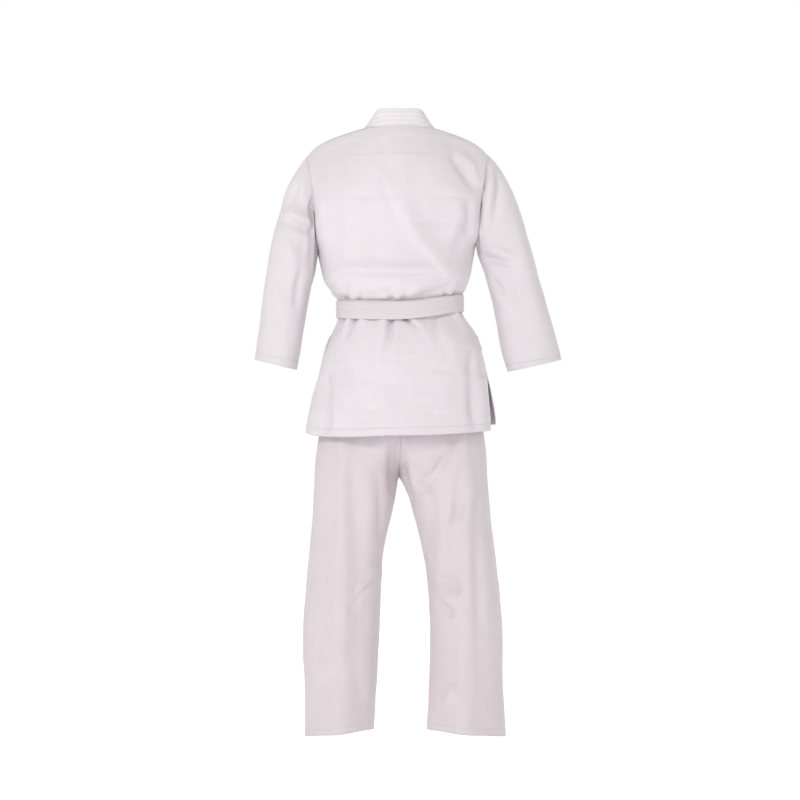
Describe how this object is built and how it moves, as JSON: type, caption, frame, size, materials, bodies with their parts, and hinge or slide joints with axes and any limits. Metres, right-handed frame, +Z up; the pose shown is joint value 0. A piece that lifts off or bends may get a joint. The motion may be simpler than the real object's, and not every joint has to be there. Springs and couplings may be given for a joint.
{
  "type": "martial arts uniform",
  "caption": "White cotton training uniform in its worn shape: wrap jacket with side vents, straight trousers and a twice-wound belt knotted in front.",
  "frame": {"origin": "on the wearer's centre line, in the neck opening, level with the collar seam at the nape; this is where the wearer's shoulders carry the jacket", "axes": "+Z up, +X to the wearer's left, +Y behind the wearer, so the back of the jacket faces +Y"},
  "size_m": [0.7194, 0.3188, 1.4554],
  "materials": {
    "jacket_cotton": "matte, grain weave",
    "trouser_cotton": "matte, plain weave",
    "belt_cotton": "matte, stitched in rows"
  },
  "bodies": {
    "torso": {"back_panel": "jacket_cotton", "shoulder_lining": "jacket_cotton", "left_front_panel": "jacket_cotton", "right_front_panel": "jacket_cotton", "collar_band": "jacket_cotton", "left_vent_patch": "jacket_cotton", "right_vent_patch": "jacket_cotton", "belt_inner_wrap": "belt_cotton", "belt_outer_wrap": "belt_cotton", "belt_knot": "belt_cotton", "waist_casing": "trouser_cotton", "drawcord_loop": "trouser_cotton", "left_seat": "trouser_cotton", "right_seat": "trouser_cotton", "crotch_gusset": "trouser_cotton"},
    "left_sleeve": {"left_sleeve": "jacket_cotton"},
    "right_sleeve": {"right_sleeve": "jacket_cotton"},
    "back_flap": {"back_flap": "jacket_cotton"},
    "front_flap": {"front_flap": "jacket_cotton", "left_lapel_end": "jacket_cotton"},
    "under_flap": {"under_flap": "jacket_cotton", "right_lapel_end": "jacket_cotton"},
    "left_belt_end": {"left_belt_end": "belt_cotton"},
    "right_belt_end": {"right_belt_end": "belt_cotton"},
    "left_leg": {"left_leg": "trouser_cotton"},
    "right_leg": {"right_leg": "trouser_cotton"}
  },
  "joints": [
    {"name": "left_sleeve_raise", "type": "hinge", "parent": "torso", "child": "left_sleeve", "pos_m": [0.205, 0.004, -0.06], "axis": [0, -1, 0], "range_deg": [0, 45]},
    {"name": "right_sleeve_raise", "type": "hinge", "parent": "torso", "child": "right_sleeve", "pos_m": [-0.205, 0.004, -0.06], "axis": [0, 1, 0], "range_deg": [0, 45]},
    {"name": "back_flap_lift", "type": "hinge", "parent": "torso", "child": "back_flap", "pos_m": [0, 0.142, -0.519], "axis": [1, 0, 0], "range_deg": [0, 30], "stiffness_Nm_per_rad": 0.35, "springref_deg": -20.05},
    {"name": "front_flap_lift", "type": "hinge", "parent": "torso", "child": "front_flap", "pos_m": [0, -0.144, -0.519], "axis": [-1, 0, 0], "range_deg": [0, 35], "stiffness_Nm_per_rad": 0.35, "springref_deg": -20.05},
    {"name": "under_flap_lift", "type": "hinge", "parent": "torso", "child": "under_flap", "pos_m": [0, -0.144, -0.519], "axis": [-1, 0, 0], "range_deg": [0, 17.5], "stiffness_Nm_per_rad": 0.35, "springref_deg": -20.05},
    {"name": "left_belt_end_swing", "type": "hinge", "parent": "torso", "child": "left_belt_end", "pos_m": [0.02, -0.142, -0.451], "axis": [-1, 0, 0], "range_deg": [0, 28]},
    {"name": "right_belt_end_swing", "type": "hinge", "parent": "torso", "child": "right_belt_end", "pos_m": [-0.02, -0.142, -0.451], "axis": [-1, 0, 0], "range_deg": [0, 28]},
    {"name": "left_leg_swing", "type": "hinge", "parent": "torso", "child": "left_leg", "pos_m": [0.1, 0, -0.582], "axis": [-1, 0, 0], "range_deg": [-15, 25]},
    {"name": "right_leg_swing", "type": "hinge", "parent": "torso", "child": "right_leg", "pos_m": [-0.1, 0, -0.582], "axis": [-1, 0, 0], "range_deg": [-15, 25]}
  ],
  "couplings": [
    {"joint": "under_flap_lift", "follows": "front_flap_lift", "ratio": 0.5},
    {"joint": "left_belt_end_swing", "follows": "front_flap_lift", "ratio": 0.8},
    {"joint": "right_belt_end_swing", "follows": "front_flap_lift", "ratio": 0.8}
  ]
}
